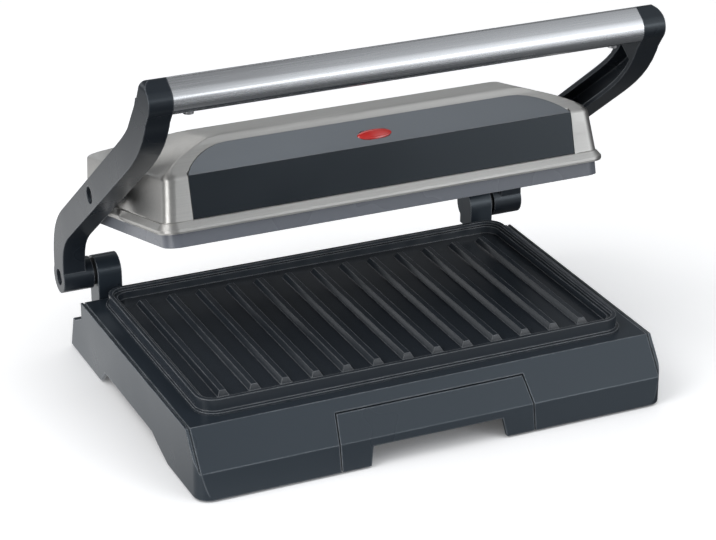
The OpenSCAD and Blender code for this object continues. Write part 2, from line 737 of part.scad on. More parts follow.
// Section of the handle, a leaning teardrop of three circles.
grip = [[grip_y, grip_z + 8.3, 3], [grip_y - 2.5, grip_z + 0.5, 8], [grip_y + 4, grip_z - 4.7, 5.5]];

module arm_outline(shrink = 0) {
    polygon(arm_band(arm_t / 2 - shrink, 0, len(arm_line) - 1));
    circle(hinge_r - shrink);
}

pivot_boss_x = lid_w / 2 - 3.4;

// front view of an arm, its outer top corner rounded off at the handle
module arm_tip_outline() {
    top = grip[0][1] + grip[0][2];
    translate([0, -30]) square([arm_x, top - arm_tip_r + 30]);
    translate([0, -30]) square([arm_x - arm_tip_r, top + 31]);
    translate([arm_x - arm_tip_r, top - arm_tip_r]) circle(arm_tip_r, $fn = 48);
}

module right_arm_body() {
    difference() {
        union() {
            difference() {
                intersection() {
                    side_extrude(arm_in, arm_x) union() {
                        arm_outline();
                        polygon(belt(grip));
                        // the arm's front runs smoothly into the belly of the handle
                        polygon(belt([grip[1], concat(arm_line[len(arm_line) - 5], arm_t / 2 - 0.02)]));
                    }
                    front_extrude(grip_y - 20, 30) arm_tip_outline();
                }
                // channel open to the inner side
                side_extrude(arm_in - 1, arm_x - arm_wall)
                    polygon(arm_band(arm_t / 2 - arm_wall, 3, len(arm_line) - 3));
            }
            rod_x(post_x + hinge_gap, arm_x - arm_wall, hinge_r);
            translate([0, swing_y, swing_z]) rod_x(pivot_boss_x, arm_x - arm_wall, 6.4);
            side_extrude(arm_in - spigot, arm_in + 1) polygon(belt(grip, -tube_t - slack));
        }
        rod_x(post_x, arm_x + 1, pin_r + slack);
        rod_x(arm_x - recess_t, arm_x + 1, recess_r);
        translate([0, swing_y, swing_z]) {
            rod_x(pivot_boss_x - 1, arm_x + 1, pin_r + slack);
            rod_x(arm_x - recess_t, arm_x + 1, recess_r);
        }
        translate([handle_screw_x, grip_y + 2, handle_screw_z - 4])
            cylinder(h = handle_screw + 5, r = screw_r + slack);
    }
}
handle_screw_x = arm_in - 12;
handle_head = 2.8;
handle_screw_z = grip_z - 8.6;

module right_arm() color([0.22, 0.24, 0.27]) translate(hinge) right_arm_body();
module left_arm() color([0.22, 0.24, 0.27]) translate(hinge) mirror([1, 0, 0]) right_arm_body();

module handle_tube() color([0.78, 0.79, 0.8]) translate(hinge) difference() {
    side_extrude(-arm_in, arm_in) difference() {
        polygon(belt(grip));
        polygon(belt(grip, -tube_t));
    }
    both_sides() translate([handle_screw_x, grip_y + 2, grip_z - 14])
        cylinder(h = 10, r = handle_head + 0.15);
}

module handle_screws() color([0.7, 0.7, 0.72]) translate(hinge)
    both_sides() translate([handle_screw_x, grip_y + 2, handle_screw_z])
    screw(handle_screw, head = handle_head);

// ---- lid -----------------------------------------------------------------

// From the lid's own frame, flat with its front edge at y = 0, to its place at rest.
module lid_pose() {
    translate(hinge + [0, swing_y, swing_z]) rotate([-lid_tilt, 0, 0])
        translate([0, -pivot_y, -pivot_z]) children();
}

side_foot = lid_w / 2 - 3;
side_crease = lid_w / 2 - 5.5;
face_y0 = 3;
face_y1 = 3.6;
rear_foot = lid_d - 3;
rear_crease = lid_d - 4;
lid_r = 6.5;
roof_slope = atan2(top_z0 - crease_z, top_y0 - face_y1);

// Flat round-cornered slice of the lid, t inside its outline at height z.
module lid_slice(half, y0, y1, r, z) {
    translate([0, (y0 + y1) / 2, z]) linear_extrude(eps)
        round_rect(2 * half, y1 - y0, r, $fn = 32);
}

// The flat top, leaning back a little, t inside its outline.
module lid_top(t) {
    translate([0, (top_y0 + top_y1) / 2, (top_z0 + top_z1) / 2 - t]) rotate([top_lean, 0, 0])
        linear_extrude(eps) round_rect(top_w - 2 * t, top_y1 - top_y0 - 2 * t, 2, $fn = 32);
}

module lid_solid(t, z0) {
    lift = t * 0.45;
    hull() {
        lid_slice(side_foot - t, face_y0 + t, rear_foot - t, lid_r - t, z0);
        lid_slice(side_crease - t, face_y1 + t, rear_crease - t, lid_r - t, crease_z - lift);
    }
    hull() {
        lid_slice(side_crease - t, face_y1 + t, rear_crease - t, lid_r - t, crease_z - lift - eps);
        lid_top(t);
    }
}

// Panels that lie on the lid's face: x across, y up the face.
module on_band() {
    lean = atan2(crease_z - frame_t, face_y1 - face_y0);
    translate([0, face_y0, frame_t]) rotate([lean, 0, 0]) children();
}
module on_slope() {
    translate([0, face_y1, crease_z]) rotate([roof_slope, 0, 0]) children();
}
band_h = norm([crease_z - frame_t, face_y1 - face_y0]);
fascia_h = (fascia_z - crease_z) / sin(roof_slope);

module band_outline(gap) {
    polygon([[-band_x - gap, 0.5 - gap], [band_x + gap, 0.5 - gap],
        [band_x + gap, band_h + gap], [-band_x - gap, band_h + gap]]);
}
module fascia_outline(gap) {
    steps = 8;
    end = band_x - fascia_x;
    curve = [for (i = [0 : steps]) bezier([[band_x, 0], [band_x - end * 0.08, fascia_h * 0.32],
        [band_x - end * 0.5, fascia_h], [fascia_x, fascia_h]], i / steps) + [gap, gap]];
    polygon(concat([[band_x + gap, -gap]], curve,
        [for (i = [steps : -1 : 0]) [-curve[i][0], curve[i][1]]], [[-band_x - gap, -gap]]));
}

module pivot_axis() { translate([0, pivot_y, pivot_z]) children(); }

module lid_cover() color([0.66, 0.65, 0.63]) lid_pose() difference() {
    union() {
        difference() {
            lid_solid(0, frame_t);
            lid_solid(cover_steel, frame_t - 1);
        }
        // inturned foot that the lid screws hold
        for (x = [-1, 1], y = lid_screw_y)
            translate([x * (side_foot - 5) - 4.6, y - 6, frame_t]) cube([9.2, 12, 1.2]);
    }
    on_band() translate([0, 0, -3]) linear_extrude(4) band_outline(0.15);
    on_slope() translate([0, 0, -3]) linear_extrude(4) fascia_outline(0.15);
    pivot_axis() both_sides() rod_x(side_crease - 8, lid_w, pin_r + 1.2);
    lid_screw_places() cylinder(h = 20, r = screw_r + 0.2);
}
lid_screw_y = [30, lid_d - 26];
module lid_screw_places() {
    for (x = [-1, 1], y = lid_screw_y) translate([x * (side_foot - 3.2), y, 0]) children();
}

module lid_fascia() color([0.5, 0.53, 0.56]) lid_pose() difference() {
    on_slope() translate([0, 0, -2]) linear_extrude(2.3) fascia_outline(0);
    on_slope() translate([lens_x, lens_y, -4]) linear_extrude(8) lens_outline(0.1);
    on_band() translate([-base_w, 0, -9]) cube([2 * base_w, band_h + 0.02, 8.9 + 0.4]);
}

module lid_front_band() color([0.2, 0.22, 0.25]) lid_pose() difference() {
    on_band() translate([0, 0, -2]) linear_extrude(2.3) band_outline(0);
    translate([-base_w, 0, crease_z + 0.2]) cube([2 * base_w, 20, 20]);
}

lens_x = -3.3;
lens_y = 7.9;
lens_w = 18.5;
lens_h = 7.4;
module lens_outline(gap) {
    r = lens_h / 2 + gap;
    square([lens_w - lens_h, 2 * r], center = true);
    for (s = [-1, 1]) translate([s * (lens_w - lens_h) / 2, 0]) circle(r);
}
module indicator_lens() color([0.8, 0.12, 0.1]) lid_pose() on_slope()
    translate([lens_x, lens_y, -2.6]) {
        linear_extrude(3.6) lens_outline(0);
        linear_extrude(0.6) square([lens_w + 3, lens_h + 2], center = true);
    }
module indicator_lamp() color([0.9, 0.5, 0.3]) lid_pose() on_slope()
    translate([lens_x - 6, lens_y, -5.4]) {
        rod_x(0, 12, 2.2);
        translate([12, 0, 0]) sphere(2.2);
    }
module lamp_holder() color([0.85, 0.85, 0.8]) lid_pose() on_slope()
    translate([lens_x - 12, lens_y, -5.4]) difference() {
        translate([0, -4, -4]) cube([22, 8, 6.7]);
        rod_x(5.9, 30, 2.2 + 0.15);
        translate([5.9, -2.4, 0]) cube([30, 4.8, 5]);
    }

module lid_frame() color([0.68, 0.67, 0.65]) lid_pose() difference() {
    hull() {
        lid_slice(lid_w / 2 - 0.6, 0.6, lid_d - 0.6, 9, 0);
        lid_slice(lid_w / 2, 0, lid_d, 9.6, 1);
        lid_slice(lid_w / 2, 0, lid_d, 9.6, 2.4);
        lid_slice(lid_w / 2 - 2.2, 2.2, lid_d - 2, 7.8, frame_t - eps);
    }
    translate([0, lid_d / 2, 0]) slab(lid_w - 2 * frame_lip, lid_d - 2 * frame_lip, 6, -1, frame_t + 1);
    lid_screw_places() {
        translate([0, 0, -1]) cylinder(h = 8, r = screw_r + 0.2);
        translate([0, 0, -1]) cylinder(h = 1 + head_t + 0.2, r = screw_head + 0.2);
    }
}

module lid_screws() color([0.5, 0.5, 0.52]) lid_pose()
    lid_screw_places() translate([0, 0, head_t + 0.2]) screw(frame_t);

module pivot_brackets() color([0.6, 0.6, 0.62]) lid_pose() both_sides() difference() {
    x1 = side_crease - cover_steel - 0.6;
    union() {
        translate([x1 - 2.5, pivot_y - 12, frame_t]) cube([2.5, 24, crease_z - frame_t - 3]);
        translate([x1 - 2.5, pivot_y - 12, frame_t]) cube([5, 24, 1.6]);
        translate([0, pivot_y, pivot_z]) rod_x(x1 - 7, x1, 6);
    }
    pivot_axis() rod_x(0, lid_w, pin_r + pin_fit);
}

module lid_pivots() color([0.6, 0.6, 0.62]) translate(hinge + [0, swing_y, swing_z])
    both_sides() difference() {
        union() {
            rod_x(side_crease - 8, arm_x - recess_t, pin_r);
            rod_x(arm_x - recess_t, arm_x - recess_t + 3, recess_r - 0.4);
        }
        rod_x(arm_x - recess_t + 1.4, arm_x + 1, pin_r * 0.7, $fn = 6);
    }

module upper_grill_plate() color([0.3, 0.32, 0.35]) lid_pose() translate([0, lid_d / 2, 0]) {
    difference() {
        union() {
            slab(upper_w, upper_d, 9, -upper_h, 0);
            slab(lid_w - 2 * frame_lip - 0.4, lid_d - 2 * frame_lip - 0.4, 5.8, -1, upper_back);
            translate([0, 0, upper_back]) reflector_bosses();
        }
        slab(upper_w - 2 * rim_t, upper_d - 2 * rim_t, 6, -upper_h - 1, upper_floor);
        translate([0, 0, upper_back]) pack_holes();
    }
    translate([0, 0, upper_floor]) mirror([0, 0, 1]) ribs(upper_d - 2 * rim_t - 10);
}

module upper_wiring() color([0.85, 0.85, 0.8]) lid_pose() {
    level = upper_back + pin_z;
    back = lid_d / 2 + pin_end_y;
    over = upper_back + reflector_z + 4;
    for (s = [-1, 1]) lead([[s * ends_x, back + slack, level], [s * ends_x, back + 2.4, level],
        [s * ends_x, back + 2.4, over], [lens_x - 9 + s * 2.5, back + 2.4, over],
        [lens_x - 9 + s * 2.5, 16.5, over], [lens_x - 9 + s * 2.5, 16.5, 25.4]]);
}

base_housing();
bottom_cover();
rubber_feet();
bottom_cover_screws();
lower_grill_plate();
lower_plate_screws();
lower_heating_element();
lower_element_clips();
lower_heat_reflector();
lower_reflector_screws();
lower_thermostat();
lower_thermal_fuse();
terminal_block();
lower_wiring();
cord_gland();
drip_tray();
left_hinge_post();
right_hinge_post();
hinge_post_screws();
hinge_bushes();
hinge_washers();
left_arm();
right_arm();
hinge_pins();
handle_tube();
handle_screws();
lid_pivots();
pivot_brackets();
lid_frame();
lid_cover();
lid_fascia();
lid_front_band();
lid_screws();
indicator_lens();
indicator_lamp();
lamp_holder();
upper_grill_plate();
upper_heating_element();
upper_element_clips();
upper_heat_reflector();
upper_reflector_screws();
upper_thermostat();
upper_thermal_fuse();
upper_wiring();
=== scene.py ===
# %% [markdown]
# # A contact grill with a floating lid
# The imported model gives every solid of the grill in metres, already in its place.  This script gives
# those solids their looks.  It sets up a small studio, makes a finish for each material, builds the two
# pieces whose soft shape matters most, shades all the others smooth by angle and rounds the edges of the
# main ones.

# %% Load the frame
import json
import math

import bmesh
import bpy
from mathutils import Matrix, Vector


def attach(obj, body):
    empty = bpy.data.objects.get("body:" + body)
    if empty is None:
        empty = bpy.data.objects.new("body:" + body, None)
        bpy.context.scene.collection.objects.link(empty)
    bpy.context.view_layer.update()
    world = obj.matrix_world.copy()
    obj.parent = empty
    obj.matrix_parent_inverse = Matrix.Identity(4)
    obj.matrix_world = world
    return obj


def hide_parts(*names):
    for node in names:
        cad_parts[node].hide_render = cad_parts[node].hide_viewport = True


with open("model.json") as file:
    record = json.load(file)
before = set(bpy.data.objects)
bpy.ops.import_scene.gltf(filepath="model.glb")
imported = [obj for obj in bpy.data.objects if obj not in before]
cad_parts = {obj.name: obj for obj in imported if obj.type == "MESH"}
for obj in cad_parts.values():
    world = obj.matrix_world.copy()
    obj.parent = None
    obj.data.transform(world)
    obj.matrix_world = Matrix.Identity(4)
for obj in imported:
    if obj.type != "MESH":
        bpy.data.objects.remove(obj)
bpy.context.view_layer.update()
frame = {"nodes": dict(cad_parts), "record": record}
nodes = frame["nodes"]

# %% [markdown]
# ## Camera
# A kitchen appliance is best seen from a little above and from one side, where its front, a cheek
# and the cooking surface all show.  The camera could track the grill with a constraint.  Two plain
# angles are used instead, because they can be read and changed directly.  A long lens from over a
# metre away keeps the upright edges nearly parallel.

# %% Camera
CAMERA_AT = (-0.53185, -1.17067, 0.64671)
AZIMUTH, ELEVATION = -24.369, 24.310  # degrees round the grill, and above the table
LENS_MM, SENSOR_MM = 125.09, 36


def place(item):
    """Links a new object into the scene."""
    bpy.context.scene.collection.objects.link(item)
    return item


camera_data = bpy.data.cameras.new("studio_camera")
camera_data.lens, camera_data.sensor_width = LENS_MM, SENSOR_MM
camera = place(bpy.data.objects.new("studio_camera", camera_data))
camera.location = CAMERA_AT
camera.rotation_euler = (math.radians(90 - ELEVATION), 0, math.radians(AZIMUTH))
bpy.context.scene.camera = camera
print("camera:", round(Vector(CAMERA_AT).length, 2), "m from the grill")

# %% [markdown]
# ## Lamps
# Two soft panels stand on the left.  The low one lights the left cheek and draws a highlight down
# the lid's rounded corner, and the high one lights the roof of the lid.  Area lamps are used because
# their size sets how soft the shadows are.  They stay weak, since most of the light comes from the
# surroundings.

# %% Lamps
def panel(name, at, aim, size, power):
    """A rectangular soft light at a place, turned towards a point."""
    data = bpy.data.lights.new(name, "AREA")
    data.shape = "RECTANGLE"
    data.size, data.size_y = size
    data.energy = power
    lamp = place(bpy.data.objects.new(name, data))
    lamp.location = at
    lamp.rotation_euler = (Vector(aim) - Vector(at)).to_track_quat("-Z", "Y").to_euler()
    print(name, "gives", power, "watts")


GRILL_MIDDLE = (0, 0, 0.12)
panel("left_panel", (-1.5, -0.5, 0.42), GRILL_MIDDLE, (0.8, 0.9), 10)
panel("high_panel", (-0.95, -0.1, 1.25), GRILL_MIDDLE, (0.8, 0.8), 7)

# %% [markdown]
# ## Surroundings
# Dark glossy plastic and brushed steel show mostly what they mirror.  A studio hangs large white
# cards round such an object.  Here each card is a soft patch in the world's background.  A
# direction has three coordinates, across, back and up, and a patch fades in and out along them.
# The patches are added up.  This gives smooth gradients without the noise and the hard mirrored
# edges of many lamps.  The camera's own rays see plain white instead.

# %% Helpers for the surroundings
world = bpy.data.worlds.new("studio_world")
bpy.context.scene.world = world
world.use_nodes = True
wn, wl = world.node_tree.nodes, world.node_tree.links
wn.clear()


def fade(value, low, high, start, end):
    """A soft step from start to end as a coordinate goes from low to high."""
    node = wn.new("ShaderNodeMapRange")
    node.interpolation_type = "SMOOTHSTEP"
    for key, number in (("From Min", low), ("From Max", high), ("To Min", start), ("To Max", end)):
        node.inputs[key].default_value = number
    wl.new(value, node.inputs["Value"])
    return node.outputs["Result"]


def combine(kind, first, *others):
    """Adds or multiplies values one after another."""
    for other in others:
        node = wn.new("ShaderNodeMath")
        node.operation = kind
        wl.new(first, node.inputs[0])
        wl.new(other, node.inputs[1])
        first = node.outputs[0]
    return first


direction = wn.new("ShaderNodeSeparateXYZ")
wl.new(wn.new("ShaderNodeTexCoord").outputs["Generated"], direction.inputs[0])
across, back, up = direction.outputs
print("directions:", [output.name for output in direction.outputs])

# %% [markdown]
# ### What each patch is for
# The front glow fills the base's front, the strip above it brightens the steel roof, and the
# overhead glow lies on the lid's top and the handle.  These three grow stronger to the right, so
# the long front faces run from dark to light.  The rear glow lies low behind the grill and is
# mirrored by the base's flat ledge.  The right glow catches the faces that turn right, and the hip
# glow the rounded line where the lid's front slope meets its side slope.

# %% Patches
FRONT_GLOW, STRIP_GLOW, TOP_GLOW, REAR_DIM = 0.95, 2.0, 0.45, 0.08
REAR_GLOW, RIGHT_GLOW, HIP_GLOW = 0.6, 1.8, 2.0
LEFT_SHARE, RIGHT_SHARE = 0.4, 1.8

front_glow = combine("MULTIPLY", fade(back, -0.8, 0.15, FRONT_GLOW, 0), fade(up, -0.05, 0.5, 0.1, 1))
strip_glow = combine("MULTIPLY", fade(back, -0.9, -0.5, STRIP_GLOW, 0),
                     fade(up, 0.16, 0.3, 0, 1), fade(up, 0.34, 0.48, 1, 0))
top_glow = fade(up, 0.6, 1.05, REAR_DIM, TOP_GLOW)
rear_glow = combine("MULTIPLY", fade(back, 0.3, 0.9, 0, REAR_GLOW),
                    fade(up, 0.1, 0.26, 1, 0), fade(across, 0.05, 0.35, 2.0, 0.8))
right_glow = combine("MULTIPLY", fade(across, 0.32, 0.55, 0, RIGHT_GLOW),
                     fade(back, -0.9, -0.3, 1, 0), fade(up, 0.1, 0.45, 1, 0))
hip_glow = combine("MULTIPLY", fade(back, 0.6, 0.75, 0, HIP_GLOW),
                   fade(across, -0.3, -0.1, 0, 1), fade(up, 0.54, 0.64, 0, 1))
graded = combine("MULTIPLY", combine("ADD", front_glow, strip_glow, top_glow),
                 fade(across, 0.25, 0.5, LEFT_SHARE, RIGHT_SHARE))
total_glow = combine("ADD", graded, rear_glow, right_glow, hip_glow)
print("nodes in the surroundings:", len(wn))

# %% White for the camera, patches for everything else
WHITE, COOL_WHITE = (1, 1, 1, 1), (0.95, 0.975, 1, 1)

patches = wn.new("ShaderNodeBackground")
patches.inputs["Color"].default_value = COOL_WHITE
wl.new(total_glow, patches.inputs["Strength"])
backdrop = wn.new("ShaderNodeBackground")
backdrop.inputs["Color"].default_value = WHITE
backdrop.inputs["Strength"].default_value = 1.0
chosen = wn.new("ShaderNodeMixShader")
wl.new(wn.new("ShaderNodeLightPath").outputs["Is Camera Ray"], chosen.inputs["Fac"])
wl.new(patches.outputs[0], chosen.inputs[1])
wl.new(backdrop.outputs[0], chosen.inputs[2])
wl.new(chosen.outputs[0], wn.new("ShaderNodeOutputWorld").inputs["Surface"])
bpy.context.scene.view_settings.view_transform = "Standard"
print("view transform:", bpy.context.scene.view_settings.view_transform)

# %% [markdown]
# ## Floor
# The grill stands on a plain white table.  A single large quad is enough for it, since the table
# has no edge in view.  Its paint comes with the other finishes.

# %% Floor
FLOOR_CORNERS = [(-4, -3, 0), (4, -3, 0), (4, 5, 0), (-4, 5, 0)]

floor_mesh = bpy.data.meshes.new("studio_floor")
floor_mesh.from_pydata(FLOOR_CORNERS, [], [(0, 1, 2, 3)])
floor = place(bpy.data.objects.new("studio_floor", floor_mesh))
print("floor faces:", len(floor_mesh.polygons))

# %% [markdown]
# ## Finishes
# Every finish is a Principled shader.  A value that is the same all over the surface is set on the
# shader's own socket, and only what varies, such as grain or the painted highlight along edges, comes from
# nodes.  The noise is read in object space, which is metres here, so its scale is a real size.

# %% Material helpers
def new_material(name, colour, roughness, metallic=0.0, **sockets):
    """A Principled material with constant values set on the shader itself."""
    mat = bpy.data.materials.new(name)
    mat.use_nodes = True
    bsdf = mat.node_tree.nodes["Principled BSDF"]
    bsdf.inputs["Base Color"].default_value = (*colour, 1)
    bsdf.inputs["Roughness"].default_value = roughness
    bsdf.inputs["Metallic"].default_value = metallic
    for key, value in sockets.items():
        bsdf.inputs[key.replace("_", " ")].default_value = value
    return mat, mat.node_tree.nodes, mat.node_tree.links, bsdf


def noise(n, l, scale, detail=4.0, stretch=(1, 1, 1)):
    """Noise in object space, stretched along an axis where needed."""
    where = n.new("ShaderNodeTexCoord")
    mapping = n.new("ShaderNodeMapping")
    mapping.inputs["Scale"].default_value = stretch
    tex = n.new("ShaderNodeTexNoise")
    tex.inputs["Scale"].default_value = scale
    tex.inputs["Detail"].default_value = detail
    l.new(where.outputs["Object"], mapping.inputs["Vector"])
    l.new(mapping.outputs["Vector"], tex.inputs["Vector"])
    return tex.outputs["Fac"]


def ramp(n, l, value, low, high, start, end):
    """A straight ramp from start to end as a value goes from low to high."""
    node = n.new("ShaderNodeMapRange")
    for key, number in (("From Min", low), ("From Max", high), ("To Min", start), ("To Max", end)):
        node.inputs[key].default_value = number
    l.new(value, node.inputs["Value"])
    return node.outputs["Result"]


def bump(n, l, bsdf, height, distance, strength, normal=None):
    """Relief of a given height in metres, on top of another normal if there is one."""
    node = n.new("ShaderNodeBump")
    node.inputs["Strength"].default_value = strength
    node.inputs["Distance"].default_value = distance
    l.new(height, node.inputs["Height"])
    if normal is not None:
        l.new(normal, node.inputs["Normal"])
    l.new(node.outputs["Normal"], bsdf.inputs["Normal"])


def blend(n, l, factor, dark, light):
    """Mixes two colours, each given as a plain colour or as another node's output."""
    node = n.new("ShaderNodeMix")
    node.data_type = "RGBA"
    for key, colour in (("A", dark), ("B", light)):
        if isinstance(colour, tuple):
            node.inputs[key].default_value = (*colour, 1)
        else:
            l.new(colour, node.inputs[key])
    l.new(factor, node.inputs["Factor"])
    return node.outputs["Result"]


def shade(colour, factor):
    """A colour made darker or lighter."""
    return tuple(min(1, c * factor) for c in colour)


# %% [markdown]
# ### Moulded plastic and coated castings
# The base, the arms and the plates are dark and satin, with a spark-eroded grain that is too fine to see
# as dots but softens each reflection.  A thin pale line along each edge is what makes a dark shape
# readable; it is a painted highlight, mixed into the colour, that stands in for the light a rounded edge
# catches.  The line could be painted by hand on every edge.  Here the Bevel node finds the edges: where
# its rounded normal leans away from the true one, the surface is an edge.

# %% Moulded finish
EDGE_FROM, EDGE_FULL = 0.99, 0.955  # cosine between the rounded normal and the true one
# The second scale sets how patchy the painted edge highlight is.
DRIFT_SCALE, EDGE_HIGHLIGHT_PATCH_SCALE = 18, 120


def edge_round(n, l, radius):
    """Rounded shading normal, and a mask that is 1 on edges and 0 on flats."""
    rounded = n.new("ShaderNodeBevel")
    rounded.samples = 4
    rounded.inputs["Radius"].default_value = radius
    lean = n.new("ShaderNodeVectorMath")
    lean.operation = "DOT_PRODUCT"
    l.new(rounded.outputs["Normal"], lean.inputs[0])
    l.new(n.new("ShaderNodeNewGeometry").outputs["Normal"], lean.inputs[1])
    return rounded.outputs["Normal"], ramp(n, l, lean.outputs["Value"], EDGE_FROM, EDGE_FULL, 0, 1)


def moulded(name, colour, roughness, grain=0.00003, scale=2600, edge=0.0005, edge_highlight_gain=1.8, **sockets):
    """Moulded plastic with a fine spark-eroded grain and a painted highlight along its edges."""
    mat, n, l, bsdf = new_material(name, colour, roughness, **sockets)
    broad = noise(n, l, DRIFT_SCALE, 2)
    normal, mask = edge_round(n, l, edge)
    # Painted highlight: the edge mask, made patchy by noise, mixes a paler colour into the base colour
    # along every edge.
    painted_edge_highlight = n.new("ShaderNodeMath")
    painted_edge_highlight.operation = "MULTIPLY"
    l.new(mask, painted_edge_highlight.inputs[0])
    l.new(ramp(n, l, noise(n, l, EDGE_HIGHLIGHT_PATCH_SCALE, 3), 0.3, 0.6, 0.45, 1), painted_edge_highlight.inputs[1])
    highlight_grey = sum(colour) / 3 * edge_highlight_gain + 0.02
    edge_highlight_colour = tuple(min(1, highlight_grey * 0.7 + c * edge_highlight_gain * 0.3) for c in colour)
    drift = blend(n, l, broad, shade(colour, 0.94), shade(colour, 1.06))
    l.new(blend(n, l, painted_edge_highlight.outputs[0], drift, edge_highlight_colour), bsdf.inputs["Base Color"])
    l.new(ramp(n, l, broad, 0.3, 0.7, roughness - 0.03, roughness + 0.04), bsdf.inputs["Roughness"])
    bump(n, l, bsdf, noise(n, l, scale, 3), grain, 0.5, normal)
    return mat


# %% Plastics, coatings and rubber
# The keyword that sets the pale edge line on the housing, the arms and the plates gives the strength of a
# painted highlight.
COLD_GLOSS = (0.84, 0.93, 1, 1)

housing = moulded("housing_grey", (0.024, 0.032, 0.042), 0.3, edge=0.001, edge_highlight_gain=8,
                  Specular_IOR_Level=0.55, Specular_Tint=COLD_GLOSS)
arm_grey = moulded("arm_grey", (0.014, 0.018, 0.024), 0.28, edge=0.001, edge_highlight_gain=10,
                   Specular_IOR_Level=0.45, Specular_Tint=COLD_GLOSS)
black = moulded("black_plastic", (0.012, 0.012, 0.013), 0.5)
fascia_grey = moulded("fascia_grey", (0.18, 0.197, 0.218), 0.34, edge=0.0003)
band_dark = moulded("band_dark", (0.003, 0.006, 0.01), 0.2, grain=0.00001, edge=0.0003,
                    Specular_IOR_Level=0.4, Specular_Tint=COLD_GLOSS)
nonstick = moulded("nonstick", (0.03, 0.037, 0.046), 0.22, grain=0.00004, scale=1500,
                   edge=0.0009, edge_highlight_gain=5.5)
upper_coat = moulded("upper_coat", (0.16, 0.172, 0.2), 0.27, grain=0.00001, edge=0.0008)
insulator = moulded("insulator", (0.7, 0.68, 0.6), 0.6)
sleeve = moulded("wire_sleeve", (0.6, 0.59, 0.54), 0.6)
rubber = moulded("rubber_black", (0.015, 0.015, 0.015), 0.7)
lens_red = moulded("lens_red", (0.62, 0.02, 0.016), 0.14, grain=0.000002, edge=0.0001,
                   Coat_Weight=1.0, Coat_Roughness=0.08)
print("finishes so far:", len(bpy.data.materials))

# %% [markdown]
# ### Brushed metal
# The lid's steel is brushed from side to side.  Fine scratches spread a reflection across
# themselves and hardly along themselves.  The scratches could all be modelled in the relief, but
# they are finer than a pixel, so the shader's anisotropy does the spreading.  Its tangent runs
# round the X axis.  Stretched noise adds the few streaks that are wide enough to see.

# %% Brushed finish
def brushed(name, colour, roughness, stretch, depth=0.00002, spread=0.0):
    """Metal with streaks along one axis, which spread its reflections across them."""
    mat, n, l, bsdf = new_material(name, colour, roughness, 1.0)
    streak = noise(n, l, 900, 5, stretch)
    l.new(ramp(n, l, streak, 0.3, 0.7, roughness - 0.06, roughness + 0.08), bsdf.inputs["Roughness"])
    l.new(blend(n, l, streak, shade(colour, 0.8), shade(colour, 1.12)), bsdf.inputs["Base Color"])
    bump(n, l, bsdf, streak, depth, 0.35)
    if spread:
        bsdf.inputs["Anisotropic"].default_value = spread
        around = n.new("ShaderNodeTangent")
        around.direction_type = "RADIAL"
        around.axis = "X"
        l.new(around.outputs["Tangent"], bsdf.inputs["Tangent"])
    return mat


EVEN, ALONG_X, ALONG_Y = (1, 1, 1), (0.02, 1, 1), (1, 0.05, 1)
steel = brushed("brushed_steel", (0.64, 0.63, 0.61), 0.5, ALONG_X, 0.00005, 0.8)
tube_metal = brushed("handle_aluminium", (0.66, 0.67, 0.69), 0.24, ALONG_X, 0.00002, 0.2)
zinc = brushed("plated_steel", (0.5, 0.5, 0.51), 0.35, EVEN)
sheet = brushed("aluminium_sheet", (0.65, 0.66, 0.67), 0.4, ALONG_Y)
sheath = brushed("element_sheath", (0.22, 0.2, 0.19), 0.45, EVEN)
brass = brushed("bush_brass", (0.6, 0.44, 0.2), 0.35, EVEN)
print("finishes with the metals:", len(bpy.data.materials))

# %% [markdown]
# ### Floor paint
# The table has to look white and still hold the grill's shadow.  More light on it would also
# bleach the grill.  So the paint glows by itself for the camera's rays, and Ambient Occlusion,
# which tells how closed in a spot is, dims the glow under the grill.  The rays that the grill
# mirrors see a grey floor, with one bright spot near the left rear corner.

# %% Floor paint
SEEN_WHITE, MIRRORED_GREY = (0.95, 0.95, 0.96), (0.13, 0.135, 0.14)
SHADOW_REACH, SHADOW_GLOW, OPEN_GLOW = 0.16, 0.05, 0.56
SPOT_AT, SPOT_RADIUS, SPOT_END, SPOT_GLOW, FAR_GLOW = (-0.27, 0.16, 0), 0.14, 0.4, 0.9, 0.02

floor_paint, n, l, bsdf = new_material("floor_paint", (0.8, 0.8, 0.8), 0.22, Specular_IOR_Level=0.4)
seen = n.new("ShaderNodeLightPath").outputs["Is Camera Ray"]
l.new(blend(n, l, seen, MIRRORED_GREY, SEEN_WHITE), bsdf.inputs["Base Color"])
l.new(ramp(n, l, noise(n, l, 3, 1), 0.3, 0.7, 0.2, 0.25), bsdf.inputs["Roughness"])
from_spot = n.new("ShaderNodeVectorMath")
from_spot.operation = "DISTANCE"
from_spot.inputs[1].default_value = SPOT_AT
l.new(n.new("ShaderNodeNewGeometry").outputs["Position"], from_spot.inputs[0])
openness = n.new("ShaderNodeAmbientOcclusion")
openness.samples = 8
openness.inputs["Distance"].default_value = SHADOW_REACH
glow = n.new("ShaderNodeMix")
l.new(seen, glow.inputs["Factor"])
l.new(ramp(n, l, from_spot.outputs["Value"], SPOT_RADIUS, SPOT_END, SPOT_GLOW, FAR_GLOW), glow.inputs["A"])
l.new(ramp(n, l, openness.outputs["AO"], 0.1, 1.0, SHADOW_GLOW, OPEN_GLOW), glow.inputs["B"])
bsdf.inputs["Emission Color"].default_value = WHITE
l.new(glow.outputs["Result"], bsdf.inputs["Emission Strength"])
floor_mesh.materials.append(floor_paint)
print("nodes in the floor paint:", len(n))

# %% [markdown]
# ### Finishes on the solids
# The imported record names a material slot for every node, so one table from slot to finish dresses
# them all.  Two kinds of piece differ from the rest of their slot: the upper plate shows only its
# paler coated outside, and the hinge posts are moulded with the housing.

